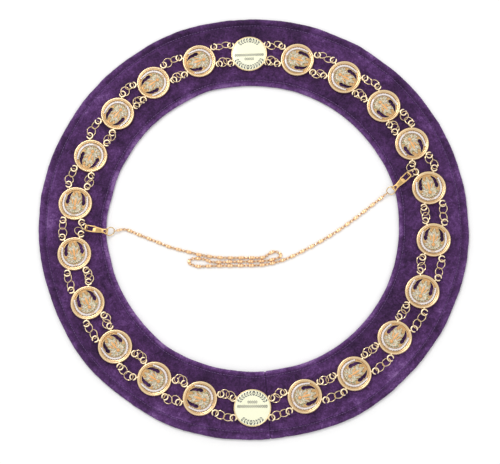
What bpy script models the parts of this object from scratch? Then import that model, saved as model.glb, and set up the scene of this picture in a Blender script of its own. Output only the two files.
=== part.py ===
"""A chain of office laid flat: a padded velvet collar carrying a double-strand chain of cast medallions,
with a front and a back plate, and a fine chain with two snap hooks across the neck opening.

The collar's centre is the origin and its underside is z = 0. +X and +Y lie in its plane, with the back plate
at +Y and the front plate at -Y. Azimuths are in degrees, counter-clockwise from +X.
"""

import math

import bmesh
import bpy
from mathutils import Matrix, Vector

MM = 0.001
GAP = 0.3 * MM  # kept between pieces that touch on the real collar

# Velvet collar
COLLAR_OUTER_R = 200 * MM
COLLAR_INNER_R = 136 * MM
COLLAR_THICK = 4.0 * MM
COLLAR_EDGE = 1.2 * MM  # how far the rolled edges curve in at top and bottom
COLLAR_SEGMENTS = 72

# Medallions and plates
MEDALLION_R = 16.0 * MM
PLATE_R = 17.0 * MM
DISC_LOW = COLLAR_THICK + GAP
DISC_HIGH = 7.5 * MM
FIELD_HIGH = 6.3 * MM  # the sunk field inside a medallion's rim
PLATE_HIGH = 8.2 * MM
RIM_WIDTH = 2.6 * MM
DISC_SIDES = 16

# Loops cast on each disc, one towards each of the four link pairs
LOOP_ALONG = 17.3 * MM  # from the disc's centre, along the chain
LOOP_ACROSS = 8.9 * MM  # from the disc's centre, across the chain
LOOP_R = 2.78 * MM
LOOP_WIRE_R = 0.62 * MM
LOOP_Z = 7.15 * MM
LOOP_OPENING = 56  # degrees left open, on the side away from the chain's middle line
LOOP_OPENING_AT = -20  # degrees, from straight across the chain towards the rim

# Link rings, two in each strand between neighbouring discs
RING_R = 4.2 * MM
RING_WIRE_R = 0.4 * MM
RING_REACH = 3.5 * MM  # from the loop's centre to the slack ring's centre
MOST_REACH = 5.4 * MM  # the same in the tautest strand
RING_SPREAD = 7.45 * MM  # the furthest that the two ring centres of a strand can part
RING_ROLL = 31  # degrees that a slack ring leans about the line to its loop
RING_LIFT = 0.05 * MM
TACK_WIDTH = 0.5 * MM  # thread that tacks a gap's four rings together
TACK_HIGH = 5.2 * MM

# Stations round the chain: name, azimuth in degrees, radius in mm, and which way the medallion's top points
# along the chain (+1 counter-clockwise, -1 clockwise, 0 for a plate, which has no top here).
STATIONS = (
    ("back_plate", 91.0, 165.5, 0),
    ("medallion_01", 107.5, 167.0, 1),
    ("medallion_02", 124.0, 167.0, 1),
    ("medallion_03", 139.5, 167.0, 1),
    ("medallion_04", 156.0, 166.0, 1),
    ("medallion_05", 172.5, 166.5, -1),
    ("medallion_06", 189.0, 167.0, -1),
    ("medallion_07", 205.5, 168.0, -1),
    ("medallion_08", 222.0, 169.0, -1),
    ("medallion_09", 238.0, 168.5, -1),
    ("medallion_10", 253.5, 168.0, -1),
    ("front_plate", 270.0, 170.0, 0),
    ("medallion_11", 286.5, 166.5, 1),
    ("medallion_12", 303.5, 167.0, 1),
    ("medallion_13", 320.5, 167.5, 1),
    ("medallion_14", 337.5, 168.0, 1),
    ("medallion_15", 354.5, 167.5, 1),
    ("medallion_16", 371.5, 167.0, 1),
    ("medallion_17", 387.0, 167.0, -1),
    ("medallion_18", 402.5, 167.0, -1),
    ("medallion_19", 418.5, 166.0, -1),
    ("medallion_20", 435.0, 165.0, -1),
)

# How the link rings lie in the gap after each station: the swing of the first and of the second ring in
# degrees, positive away from the collar's centre, in the outer strand and in the inner one.
LINK_SWINGS = (
    (12, -6, 34, 26),
    (6, 4, 30, 16),
    (24, 6, 44, 40),
    (4, 10, -22, 20),
    (0, 12, 22, -20),
    (-2, -4, -34, 38),
    (2, -10, -18, -24),
    (0, -12, -14, 26),
    (6, 24, -26, -30),
    (16, -18, -43, -43),
    (4, 8, -22, -28),
    (-6, 0, 28, -14),
    (-4, 2, 12, 24),
    (-2, 4, -6, 14),
    (-3, 3, 18, 22),
    (-4, 1, 14, -18),
    (-6, 0, 16, 10),
    (20, -26, -95, -46),
    (-10, -22, 44, 44),
    (16, -10, 32, 34),
    (-12, 14, 24, -20),
    (22, -20, 34, 38),
)

# Inner strands that a snap hook clips to: for the gap's index, the first ring's reach and lift in mm, and how far
# each ring leans in degrees.
HOOKED = {5: (4.5, 1.2, -55, -33), 17: (3.55, 1.15, -57, -30)}

# Snap hooks: a flat stamped hook with a sprung gate, drawn in mm with the nose at 0 and the eye at the far
# end of the first axis. The gate is on the second axis's positive side.
HOOK_THICK = 1.0 * MM
HOOK_OUTLINE = (
    (0.0, 1.9), (0.6, 2.9), (1.5, 3.1), (1.5, -2.1), (7.8, -2.1), (7.8, 1.0), (9.2, 1.6), (9.9, 1.7),
    (9.9, 2.8), (16.8, 1.9), (17.6, 1.9), (21.3, 2.9), (22.0, 2.5), (22.0, -2.5), (21.3, -2.9),
    (17.6, -1.9), (16.8, -1.9), (7.8, -3.1), (1.3, -3.1), (0.0, -2.1),
)
HOOK_EYE = ((17.7, -0.8), (20.9, -1.9), (20.9, 1.9), (17.7, 0.8))
GATE_OUTLINE = ((1.8, 2.2), (8.0, 2.1), (9.4, 2.1), (9.4, 3.0), (8.0, 3.1), (1.8, 3.0))
GATE_PIVOT = (8.9, 2.6)

# Where each hook lies: name, nose x, y and z in mm, azimuth from nose to eye, fall towards the eye in degrees,
# and 1, or -1 for the hook that lies on its other face.
HOOKS = (
    ("left_hook", -155.66, -1.56, 7.3, -10.6, 2.0, 1),
    ("right_hook", 146.35, 47.2, 7.36, 223.9, 2.0, -1),
)

# Jump rings between hook and fine chain: name, centre x, y and z in mm, azimuth of the line from the hook's
# eye, fall along that line and roll about it in degrees.
JUMP_RINGS = (
    ("left_jump_ring", -132.2, -4.9, 5.0, 10.0, 22.5, 42.5),
    ("right_jump_ring", 128.7, 31.4, 5.05, 210.0, 24.5, -43.0),
)
JUMP_RING_R = 4.2 * MM
JUMP_RING_WIRE_R = 0.42 * MM

# Fine chain: points of its middle line in mm, from the left jump ring to the right one. It lies on the
# surface, doubled back twice in the middle of the neck opening.
CHAIN_WIDTH = 2.6 * MM
CHAIN_SPACING = 5.9 * MM
CHAIN_RISE = 1.9 * MM  # how far each end rises to its jump ring, over the last CHAIN_RISE_RUN
CHAIN_RISE_RUN = 9.0 * MM
CHAIN_ROUTE = (
    (-127.0, -4.0), (-120.5, -2.2), (-114.5, -3.6), (-105.0, -7.8), (-88.0, -14.8), (-77.5, -19.2),
    (-67.5, -22.2), (-57.5, -24.8), (-47.0, -27.4), (-36.0, -29.2), (-24.0, -30.2), (-8.0, -30.2),
    (6.0, -30.3), (11.0, -29.6), (15.0, -26.8), (19.5, -24.8), (24.0, -25.6), (26.0, -27.9), (24.4, -30.2),
    (19.5, -31.8), (12.0, -33.3), (-2.0, -33.8), (-16.0, -33.9), (-29.0, -34.2), (-37.5, -33.8),
    (-45.0, -31.4), (-52.0, -30.6), (-57.2, -31.4), (-58.8, -33.8), (-56.6, -36.2), (-50.5, -38.0),
    (-42.0, -37.8), (-24.0, -37.7), (-2.0, -37.6), (10.0, -37.1), (19.0, -35.4), (28.5, -32.6),
    (41.0, -27.1), (60.5, -16.8), (79.0, -5.4), (97.0, 7.6), (114.0, 21.0), (124.2, 28.8),
)


def clear_scene():
    for thing in list(bpy.data.objects):
        bpy.data.objects.remove(thing)


def make_material(name, colour, metallic, roughness):
    material = bpy.data.materials.new(name)
    material.use_nodes = True
    shader = material.node_tree.nodes["Principled BSDF"]
    shader.inputs["Base Color"].default_value = (*colour, 1.0)
    shader.inputs["Metallic"].default_value = metallic
    shader.inputs["Roughness"].default_value = roughness
    return material


def add_object(name, mesh, material=None):
    thing = bpy.data.objects.new(name, mesh)
    bpy.context.scene.collection.objects.link(thing)
    if material is not None and not mesh.materials:
        mesh.materials.append(material)
    return thing


def mesh_from(bm, name):
    bmesh.ops.recalc_face_normals(bm, faces=bm.faces)
    mesh = bpy.data.meshes.new(name)
    bm.to_mesh(mesh)
    bm.free()
    return mesh


def prism(name, outline, low, high):
    """A flat outline, in metres, extruded from low to high."""
    bm = bmesh.new()
    floor = bm.faces.new([bm.verts.new((x, y, low)) for x, y in outline])
    walls = bmesh.ops.extrude_face_region(bm, geom=[floor])
    moved = [v for v in walls["geom"] if isinstance(v, bmesh.types.BMVert)]
    bmesh.ops.translate(bm, verts=moved, vec=(0, 0, high - low))
    return mesh_from(bm, name)


def turned(name, profile, sides, closed=False):
    """A profile of (radius, height) pairs turned about Z. A profile that isn't closed is capped flat at both ends."""
    bm = bmesh.new()
    turns = [2 * math.pi * k / sides for k in range(sides)]
    rows = []
    for radius, height in profile:
        rows.append([bm.verts.new((radius * math.cos(t), radius * math.sin(t), height)) for t in turns])
    pairs = list(zip(rows, rows[1:]))
    if closed:
        pairs.append((rows[-1], rows[0]))
    else:
        bm.faces.new(rows[0])
        bm.faces.new(rows[-1])
    for one, two in pairs:
        for k in range(sides):
            after = (k + 1) % sides
            bm.faces.new((one[k], one[after], two[after], two[k]))
    return mesh_from(bm, name)


def swept(name, stops, half_width, closed=False, sides=4):
    """A faceted bar through stops, each a (centre, outward direction, normal) of its path."""
    bm = bmesh.new()
    turns = [2 * math.pi * k / sides for k in range(sides)]
    rows = []
    for centre, outwards, normal in stops:
        corners = [math.cos(t) * outwards + math.sin(t) * normal for t in turns]
        rows.append([bm.verts.new(centre + half_width * corner) for corner in corners])
    pairs = list(zip(rows, rows[1:]))
    if closed:
        pairs.append((rows[-1], rows[0]))
    for start, end in pairs:
        for k in range(sides):
            after = (k + 1) % sides
            bm.faces.new((start[k], start[after], end[after], end[k]))
    if not closed:
        bm.faces.new(rows[0])
        bm.faces.new(rows[-1])
    return mesh_from(bm, name)


def circle_stops(centre, normal, radius, start=0.0, sweep=360.0, steps=8):
    """Stops for swept along an arc. Its corners stand out by as much as its sides lie in."""
    side = Vector((0, 0, 1)).cross(normal)
    side = side.normalized() if side.length > 1e-6 else Vector((1, 0, 0))
    other = normal.cross(side)
    evened = radius * 2 / (1 + math.cos(math.radians(sweep / steps / 2)))
    stops = []
    for k in range(steps if sweep == 360.0 else steps + 1):
        turn = math.radians(start + sweep * k / steps)
        outwards = math.cos(turn) * side + math.sin(turn) * other
        stops.append((centre + evened * outwards, outwards, normal))
    return stops


def combined(name, first, others, operation="UNION"):
    """One mesh from several by exact Booleans, in order."""
    base = add_object(name, first)
    helpers = [add_object(f"{name}_with_{k}", mesh) for k, mesh in enumerate(others)]
    for helper in helpers:
        step = base.modifiers.new("Combine", "BOOLEAN")
        step.operation = operation
        step.solver = "EXACT"
        step.object = helper
    bpy.context.view_layer.update()
    graph = bpy.context.evaluated_depsgraph_get()
    mesh = bpy.data.meshes.new_from_object(base.evaluated_get(graph))
    for helper in [base, *helpers]:
        bpy.data.objects.remove(helper)
    return mesh


def polar(radius, azimuth):
    turn = math.radians(azimuth)
    return Vector((radius * math.cos(turn), radius * math.sin(turn), 0))


def station_centre(station):
    name, azimuth, radius, top = STATIONS[station % len(STATIONS)]
    return polar(radius * MM, azimuth)


def loop_centre(station, along, across):
    """A cast loop's centre: along is 1 on the counter-clockwise side, and across is 1 on the outer side."""
    azimuth = STATIONS[station % len(STATIONS)][1]
    place = station_centre(station) + along * LOOP_ALONG * polar(1, azimuth + 90)
    place += across * LOOP_ACROSS * polar(1, azimuth)
    return place + Vector((0, 0, LOOP_Z))


def link_ring(loop, towards, outwards, swing, reach, lean):
    """Centre and normal of a link ring hooked in a loop. It leans about the line from the loop to its centre."""
    turn = math.radians(swing)
    line = math.cos(turn) * towards + math.sin(turn) * outwards
    beside = -math.sin(turn) * towards + math.cos(turn) * outwards
    centre = loop + reach * line + Vector((0, 0, RING_LIFT + 0.1 * (reach - RING_REACH)))
    return centre, math.sin(math.radians(lean)) * beside + Vector((0, 0, math.cos(math.radians(lean))))


def strand_rings(gap, across, first_swing, second_swing):
    """The two link rings of one strand, as (centre, normal), in the gap after a station."""
    start = loop_centre(gap, 1, across)
    end = loop_centre(gap + 1, -1, across)
    along = (end - start).normalized()
    outwards = along.cross(Vector((0, 0, 1)))
    if across < 0 and gap in HOOKED:
        reach, lift, first_lean, second_lean = HOOKED[gap]
        centre, normal = link_ring(start, along, outwards, first_swing, reach * MM, first_lean)
        first = centre + Vector((0, 0, lift * MM)), normal
        return first, link_ring(end, -along, outwards, second_swing, RING_REACH, second_lean)
    reach = RING_REACH
    while True:
        lean = RING_ROLL + 3.0 * (reach - RING_REACH) / MM
        first = link_ring(start, along, outwards, first_swing, reach, lean)
        choices = [link_ring(end, -along, outwards, second_swing, reach, turn) for turn in (lean, -lean)]
        # The second ring leans whichever way keeps the two further apart.
        second = max(choices, key=lambda ring: nearest(wire_points(first), wire_points(ring)))
        if (second[0] - first[0]).length <= RING_SPREAD or reach > MOST_REACH:
            return first, second
        reach += 0.05 * MM


def nearest(points, others):
    return min((a - b).length for a in points for b in others)


def wire_points(ring, steps=6):
    """Points along the sides of a faceted ring's middle line."""
    corners = [stop[0] for stop in circle_stops(*ring, RING_R)]
    sides = zip(corners, corners[1:] + corners[:1])
    return [a.lerp(b, k / steps) for a, b in sides for k in range(steps)]


def ring_mesh(name, ring):
    centre, normal = ring
    return swept(name, circle_stops(centre, normal, RING_R), RING_WIRE_R, closed=True, sides=3)


def lowest_corner(ring):
    return min((stop[0] for stop in circle_stops(*ring, RING_R)), key=lambda corner: corner.z).to_2d()


def band_outline(points, half_width):
    """The outline of a band that follows points in the plane."""
    left, right = [], []
    for k, point in enumerate(points):
        before = (point - points[k - 1]).normalized() if k else None
        after = (points[k + 1] - point).normalized() if k + 1 < len(points) else None
        if before is None or after is None:
            run = after or before
            mitre = run.orthogonal() * half_width
            point = point + half_width * run * (1 if after is None else -1)
        else:
            run = (before + after).normalized()
            mitre = run.orthogonal() * half_width / max(0.3, run.dot(after))
        left.append(point + mitre)
        right.append(point - mitre)
    return left + right[::-1]


def tack_mesh(rings):
    """A thread lying on the velvet, under the lowest point of each ring and up to it."""
    outline = band_outline([lowest_corner(ring) for ring in rings], TACK_WIDTH / 2)
    return prism("tack", outline, COLLAR_THICK + GAP, TACK_HIGH)


def link_mesh(gap):
    swings = LINK_SWINGS[gap]
    outer = strand_rings(gap, 1, *swings[:2])
    inner = strand_rings(gap, -1, *swings[2:])
    rings = [outer[0], outer[1], inner[1], inner[0]]
    meshes = [ring_mesh(f"ring_{k}", ring) for k, ring in enumerate(rings)]
    return combined("links", tack_mesh(rings), meshes)


def cast_loops():
    """The four open loops of a disc, whose top is +Y, as meshes."""
    loops = []
    for side in (1, -1):
        for end in (1, -1):
            centre = Vector((side * LOOP_ACROSS, end * LOOP_ALONG, LOOP_Z))
            stops = circle_stops(
                centre,
                Vector((0, 0, 1)),
                LOOP_R,
                LOOP_OPENING_AT + LOOP_OPENING / 2,
                360 - LOOP_OPENING,
                5,
            )
            loop = swept("loop", stops, LOOP_WIRE_R)
            flip = Matrix.Diagonal((side, end, 1, 1))
            away = Matrix.Translation(centre)
            loop.transform(away @ flip @ away.inverted())
            if side * end < 0:
                loop.flip_normals()
            loops.append(loop)
            # A short lug carries the loop on the disc's rim.
            reach = math.hypot(LOOP_ACROSS, LOOP_ALONG)
            half = LOOP_WIRE_R
            start, stop = MEDALLION_R - 1.5 * MM, reach - LOOP_R - 0.2 * MM
            outline = ((start, -half), (stop, -half), (stop, half), (start, half))
            lug = prism("lug", outline, LOOP_Z - 0.8 * half, LOOP_Z + 0.3 * half)
            lug.transform(Matrix.Rotation(math.atan2(centre.y, centre.x), 4, "Z"))
            loops.append(lug)
    return loops


def medallion_mesh():
    inner = MEDALLION_R - RIM_WIDTH
    profile = (
        (MEDALLION_R - 0.9 * MM, DISC_LOW),
        (MEDALLION_R, (DISC_LOW + DISC_HIGH) / 2),
        (MEDALLION_R - RIM_WIDTH / 2, DISC_HIGH),
        (inner, FIELD_HIGH),
    )
    blank = combined("blank", turned("disc", profile, DISC_SIDES), cast_loops())
    piercing = ((5.2, -4.6), (9.2, -2.6), (9.6, 2.6), (6.4, 7.2), (4.2, 2.4))
    cutters = []
    for side in (1, -1):
        outline = [(side * x * MM, y * MM) for x, y in piercing]
        cutters.append(prism("piercing", outline, DISC_LOW - MM, FIELD_HIGH + MM))
    return combined("medallion", blank, cutters, "DIFFERENCE")


def plate_mesh():
    profile = (
        (PLATE_R - 1.4 * MM, DISC_LOW),
        (PLATE_R, PLATE_HIGH - 1.2 * MM),
        (PLATE_R, PLATE_HIGH - 0.4 * MM),
        (PLATE_R - 0.5 * MM, PLATE_HIGH),
    )
    return combined("plate", turned("disc", profile, DISC_SIDES + 4), cast_loops())


def build_collar(material):
    edge = COLLAR_EDGE
    middle = COLLAR_THICK / 2
    profile = (
        (COLLAR_INNER_R + edge, 0),
        (COLLAR_OUTER_R - edge, 0),
        (COLLAR_OUTER_R, middle),
        (COLLAR_OUTER_R - edge, COLLAR_THICK),
        (COLLAR_INNER_R + edge, COLLAR_THICK),
        (COLLAR_INNER_R, middle),
    )
    add_object("velvet_collar", turned("velvet_collar", profile, COLLAR_SEGMENTS, closed=True), material)


def build_discs(gilt, cream):
    medallion = medallion_mesh()
    medallion.materials.append(gilt)
    plate = plate_mesh()
    plate.materials.append(cream)
    for station, (name, azimuth, radius, top) in enumerate(STATIONS):
        # A disc's own +Y is its top, and lies along the chain, as its loops do.
        disc = add_object(name, medallion if top else plate)
        disc.location = station_centre(station)
        disc.rotation_euler.z = math.radians(azimuth + 180 * (top < 0))


def build_links(material):
    for gap in range(len(STATIONS)):
        add_object(f"links_{gap + 1:02d}", link_mesh(gap), material)


def hook_frame(nose, azimuth, fall, face):
    """From a hook's own axes to the collar's."""
    place = Matrix.Translation(Vector(nose) * MM)
    turn = Matrix.Rotation(math.radians(azimuth), 4, "Z")
    tip = Matrix.Rotation(math.radians(fall), 4, "Y")
    over = Matrix.Rotation(math.radians(0 if face > 0 else 180), 4, "X")
    return place @ turn @ tip @ over


def build_hook(name, frame, material):
    half = HOOK_THICK / 2
    blank = prism("hook", [(u * MM, v * MM) for u, v in HOOK_OUTLINE], -half, half)
    eye = prism("eye", [(u * MM, v * MM) for u, v in HOOK_EYE], -2 * half, 2 * half)
    body = add_object(f"{name}_body", combined("hook", blank, [eye], "DIFFERENCE"), material)
    body.matrix_world = frame
    pivot_u, pivot_v = GATE_PIVOT
    outline = [((u - pivot_u) * MM, (v - pivot_v) * MM) for u, v in GATE_OUTLINE]
    gate = add_object(f"{name}_gate", prism("gate", outline, -0.8 * half, 0.8 * half), material)
    gate.matrix_world = frame @ Matrix.Translation((pivot_u * MM, pivot_v * MM, 0))


def build_jump_ring(name, centre, azimuth, fall, roll, material):
    turn = Matrix.Rotation(math.radians(azimuth), 3, "Z")
    tip = Matrix.Rotation(math.radians(fall), 3, "Y")
    lean = Matrix.Rotation(math.radians(roll), 3, "X")
    normal = turn @ tip @ lean @ Vector((0, 0, 1))
    stops = circle_stops(Vector(centre) * MM, normal, JUMP_RING_R, steps=12)
    add_object(name, swept(name, stops, JUMP_RING_WIRE_R, closed=True), material)


def smooth_route(route, spacing):
    """Evenly spaced points on a smooth curve through the route's points."""
    points = [Vector((x * MM, y * MM, CHAIN_WIDTH / 2 + 0.05 * MM)) for x, y in route]
    ends = [2 * points[0] - points[1], *points, 2 * points[-1] - points[-2]]
    fine = []
    for before, start, end, after in zip(ends, ends[1:], ends[2:], ends[3:]):
        for k in range(24):
            t = k / 24
            pull = (end - before) * t + (2 * before - 5 * start + 4 * end - after) * t**2
            pull += (3 * start - before - 3 * end + after) * t**3
            fine.append(start + 0.5 * pull)
    fine.append(points[-1])
    travelled = [0.0]
    for start, end in zip(fine, fine[1:]):
        travelled.append(travelled[-1] + (end - start).length)
    count = round(travelled[-1] / spacing)
    chosen = []
    at = 0
    for k in range(count + 1):
        wanted = travelled[-1] * k / count
        while at < len(fine) - 2 and travelled[at + 1] < wanted:
            at += 1
        share = (wanted - travelled[at]) / (travelled[at + 1] - travelled[at])
        near_end = max(0.0, 1 - min(wanted, travelled[-1] - wanted) / CHAIN_RISE_RUN)
        chosen.append(fine[at].lerp(fine[at + 1], share) + Vector((0, 0, CHAIN_RISE * near_end**2)))
    return chosen


def build_fine_chain(material):
    points = smooth_route(CHAIN_ROUTE, CHAIN_SPACING)
    curve = bpy.data.curves.new("fine_chain", "CURVE")
    curve.dimensions = "3D"
    curve.bevel_depth = CHAIN_WIDTH / 2
    curve.bevel_resolution = 2
    curve.use_fill_caps = True
    line = curve.splines.new("POLY")
    line.points.add(len(points) - 1)
    for point, place in zip(line.points, points):
        point.co = (*place, 1.0)
    curve.materials.append(material)
    thing = bpy.data.objects.new("fine_chain", curve)
    bpy.context.scene.collection.objects.link(thing)


def main():
    clear_scene()
    velvet = make_material("velvet", (0.075, 0.025, 0.15), 0.0, 0.9)
    gilt = make_material("gilt", (0.95, 0.72, 0.42), 1.0, 0.25)
    cream = make_material("cream_enamel", (0.95, 0.92, 0.74), 0.0, 0.2)
    copper = make_material("rose_gilt", (0.85, 0.55, 0.32), 1.0, 0.25)
    build_collar(velvet)
    build_discs(gilt, cream)
    build_links(gilt)
    for name, x, y, z, azimuth, fall, face in HOOKS:
        build_hook(name, hook_frame((x, y, z), azimuth, fall, face), gilt)
    for name, x, y, z, azimuth, fall, roll in JUMP_RINGS:
        build_jump_ring(name, (x, y, z), azimuth, fall, roll, gilt)
    build_fine_chain(copper)


main()
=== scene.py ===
"""Looks of the chain of office: a velvet collar, its chain of medallions, a fine chain and two snap hooks.

Lengths are in millimetres and angles in degrees, in the row frame, until a shape becomes a piece. Azimuths
are counter-clockwise from +X. Tables that say where the discs, rings, hooks and fine chain lie repeat the
ones that the CAD was built from.
"""

import itertools
import math
import random

import bmesh
import bpy
import numpy as np
from mathutils import Matrix, Vector, noise


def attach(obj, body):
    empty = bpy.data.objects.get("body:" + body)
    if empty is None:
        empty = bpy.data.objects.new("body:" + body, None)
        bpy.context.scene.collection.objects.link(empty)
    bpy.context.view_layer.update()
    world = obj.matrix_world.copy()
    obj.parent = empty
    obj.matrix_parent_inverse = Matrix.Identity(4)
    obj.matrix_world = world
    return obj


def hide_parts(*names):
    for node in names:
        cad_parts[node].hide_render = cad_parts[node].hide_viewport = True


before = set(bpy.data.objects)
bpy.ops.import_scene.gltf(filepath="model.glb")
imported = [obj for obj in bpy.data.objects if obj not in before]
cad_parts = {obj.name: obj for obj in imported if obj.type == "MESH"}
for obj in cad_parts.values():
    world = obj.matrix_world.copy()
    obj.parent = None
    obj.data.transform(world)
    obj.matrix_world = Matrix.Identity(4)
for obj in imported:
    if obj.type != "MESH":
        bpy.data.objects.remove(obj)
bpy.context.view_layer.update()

MM = 0.001
UP = Vector((0, 0, 1))
TAU = 2 * math.pi
random.seed(7)

# Velvet collar
COLLAR_R, OPENING_R = 200.0, 136.0
OUTER_STITCH_R, INNER_STITCH_R = 192.7, 141.3
STITCH_PITCH, STITCH_Z = 2.7, 3.45
SEAM_AZIMUTH = 274.7
DISCS_R, PRESSED = 167.5, 19.0  # the ring of discs, and how far on each side they press the velvet flat
STEADY_FROM, STEADY_TO, FADE = 149.5, 184.5, 8.0  # an edge's bulges are gone between the two radii
RIPPLES = 430  # fine waves round the collar

# Places round the collar, each with its azimuth, its half width in degrees and its height: how far the two
# edges bulge out, and how much lighter the nap is brushed on the outer margin, inner hem and inner margin
OUTER_BULGES = (
    (112, 9, 1.1), (148, 8, -0.6), (198, 8, -0.8), (221, 9, 1.0), (247, 10, 1.2), (277, 10, -1.1),
    (300, 6, 1.0), (321, 7, -0.4), (350, 8, 0.8),
)
INNER_BULGES = (
    (108, 7, 1.3), (150, 9, -0.8), (168, 6, -1.3), (191, 6, -0.9), (235, 9, 1.2), (263, 7, -0.6),
    (280, 8, -1.0), (84, 5, -0.4),
)
MARGIN_LIGHTS = (
    (180, 7, 0.36), (167, 7, 0.30), (140, 14, 0.18), (240, 20, 0.26), (350, 24, 0.10), (22, 10, 0.14),
    (60, 10, 0.10), (308, 15, 0.26), (204, 8, 0.14), (272, 8, 0.12), (95, 24, -0.12), (45, 1.6, -0.2),
)
HEM_LIGHTS = ((172, 26, 0.12), (118, 14, 0.08), (240, 14, 0.10), (322, 10, 0.12))
INNER_LIGHTS = ((292, 6, 0.22),)

# Discs
MEDALLION_R = 16.0
FIELD_HIGH = 6.3  # the top of a medallion's field, from which its ornament rises
WREATH_R = 11.15  # the wreath's middle
WREATH_SPAN = 128  # how far each branch of the wreath reaches from the bottom
WREATH_FLARE = 1.4  # how far the branches' tips turn out to the rim
WREATH_LEAVES, FIRST_LEAF, LEAF_STEP = 11, 12, 11.0  # pairs on a branch, and their angles from the bottom
SPRAY_R, ENGRAVING_HIGH = 13.1, 7.98  # the plates' leafy sprays, and where their engraving lies
RIM, FIELD, WHITE, GLITTER, ORANGE, LOOPS = range(6)  # a medallion's materials
EDGE, CREAM, INK, PLATE_LOOPS = range(4)  # a plate's materials
LOOP_ALONG, LOOP_ACROSS, LOOP_R, LOOP_WIRE_R, LOOP_Z = 17.3, 8.9, 2.75, 0.76, 7.15
LOOP_START, LOOP_END = 3, 332  # the arc that a loop's wire covers

# Link rings: each is RING_REACH or more from its loop, which brings a strand's two within RING_SPREAD
RING_R, RING_WIRE_R = 4.2, 0.4
RING_REACH, MOST_REACH, RING_SPREAD = 3.5, 5.4, 7.45
RING_LEAN, RING_LIFT = 31, 0.05
JUMP_RING_R, JUMP_RING_WIRE_R = 4.2, 0.47

# Stations: azimuth, radius, and 1 or -1 if the top points counter-clockwise or clockwise (0 for a plate)
STATIONS = (
    (91.0, 165.5, 0), (107.5, 167.0, 1), (124.0, 167.0, 1), (139.5, 167.0, 1), (156.0, 166.0, 1),
    (172.5, 166.5, -1), (189.0, 167.0, -1), (205.5, 168.0, -1), (222.0, 169.0, -1), (238.0, 168.5, -1),
    (253.5, 168.0, -1), (270.0, 170.0, 0), (286.5, 166.5, 1), (303.5, 167.0, 1), (320.5, 167.5, 1),
    (337.5, 168.0, 1), (354.5, 167.5, 1), (371.5, 167.0, 1), (387.0, 167.0, -1), (402.5, 167.0, -1),
    (418.5, 166.0, -1), (435.0, 165.0, -1),
)

# How far the two rings of the outer strand, and then of the inner one, swing outwards in the gap after each
# station
LINK_SWINGS = (
    (12, -6, 34, 26), (6, 4, 30, 16), (24, 6, 44, 40), (4, 10, -22, 20), (0, 12, 22, -20),
    (-2, -4, -34, 38), (2, -10, -18, -24), (0, -12, -14, 26), (6, 24, -26, -30), (16, -18, -43, -43),
    (4, 8, -22, -28), (-6, 0, 28, -14), (-4, 2, 12, 24), (-2, 4, -6, 14), (-3, 3, 18, 22),
    (-4, 1, 14, -18), (-6, 0, 16, 10), (20, -26, -95, -46), (-10, -22, 44, 44), (16, -10, 32, 34),
    (-12, 14, 24, -20), (22, -20, 34, 38),
)
# The gaps whose inner strand holds a hook: the first ring's reach and lift, and the lean of each ring
HOOKED = {5: (4.5, 1.2, -55, -33), 17: (3.55, 1.15, -57, -30)}

# Snap hooks, drawn flat from the nose to the eye
HOOK_OUTLINE = (
    (0.0, 1.9), (0.6, 2.9), (1.5, 3.1), (1.5, -2.1), (7.8, -2.1), (7.8, 1.0), (9.2, 1.6), (9.9, 1.7),
    (9.9, 2.8), (16.8, 1.9), (17.6, 1.9), (21.3, 2.9), (22.0, 2.5), (22.0, -2.5), (21.3, -2.9),
    (17.6, -1.9), (16.8, -1.9), (7.8, -3.1), (1.3, -3.1), (0.0, -2.1),
)
HOOK_EYE = ((17.7, -0.8), (20.9, -1.9), (20.9, 1.9), (17.7, 0.8))
GATE_OUTLINE = ((1.8, 2.2), (8.0, 2.1), (9.4, 2.1), (9.4, 3.0), (8.0, 3.1), (1.8, 3.0))
GATE_PIVOT = (8.9, 2.6)
HOOK_HALF, GATE_HALF = 0.5, 0.4  # half their thicknesses
CHEEK_HIGH = 0.66  # the outer face of a cheek, from the hook's middle
# Side, place of the nose, azimuth and fall of the line from nose to eye, and 1 or -1 for the face on top
HOOKS = (
    ("left", (-155.66, -1.56, 7.3), -10.6, 2.0, 1),
    ("right", (146.35, 47.2, 7.36), 223.9, 2.0, -1),
)
# Side, centre, and the azimuth, fall and roll of the ring's plane
JUMP_RINGS = (
    ("left", (-132.2, -4.9, 5.0), 10.0, 22.5, 42.5),
    ("right", (128.7, 31.4, 5.05), 210.0, 24.5, -43.0),
)

# Fine chain: its height, its rise to a jump ring over the last stretch, and its points from left to right
CHAIN_Z, CHAIN_RISE, CHAIN_RISE_RUN = 1.35, 1.9, 9.0
CHAIN_PITCH = 9.9  # one barrel and one drum
WIRE_LINK_R, CORE_R = 0.62, 0.2  # the small links between beads, and the wire
CHAIN_ROUTE = (
    (-127.0, -4.0), (-120.5, -2.2), (-114.5, -3.6), (-105.0, -7.8), (-88.0, -14.8), (-77.5, -19.2),
    (-67.5, -22.2), (-57.5, -24.8), (-47.0, -27.4), (-36.0, -29.2), (-24.0, -30.2), (-8.0, -30.2),
    (6.0, -30.3), (11.0, -29.6), (15.0, -26.8), (19.5, -24.8), (24.0, -25.6), (26.0, -27.9), (24.4, -30.2),
    (19.5, -31.8), (12.0, -33.3), (-2.0, -33.8), (-16.0, -33.9), (-29.0, -34.2), (-37.5, -33.8),
    (-45.0, -31.4), (-52.0, -30.6), (-57.2, -31.4), (-58.8, -33.8), (-56.6, -36.2), (-50.5, -38.0),
    (-42.0, -37.8), (-24.0, -37.7), (-2.0, -37.6), (10.0, -37.1), (19.0, -35.4), (28.5, -32.6),
    (41.0, -27.1), (60.5, -16.8), (79.0, -5.4), (97.0, 7.6), (114.0, 21.0), (124.2, 28.8),
)

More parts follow.
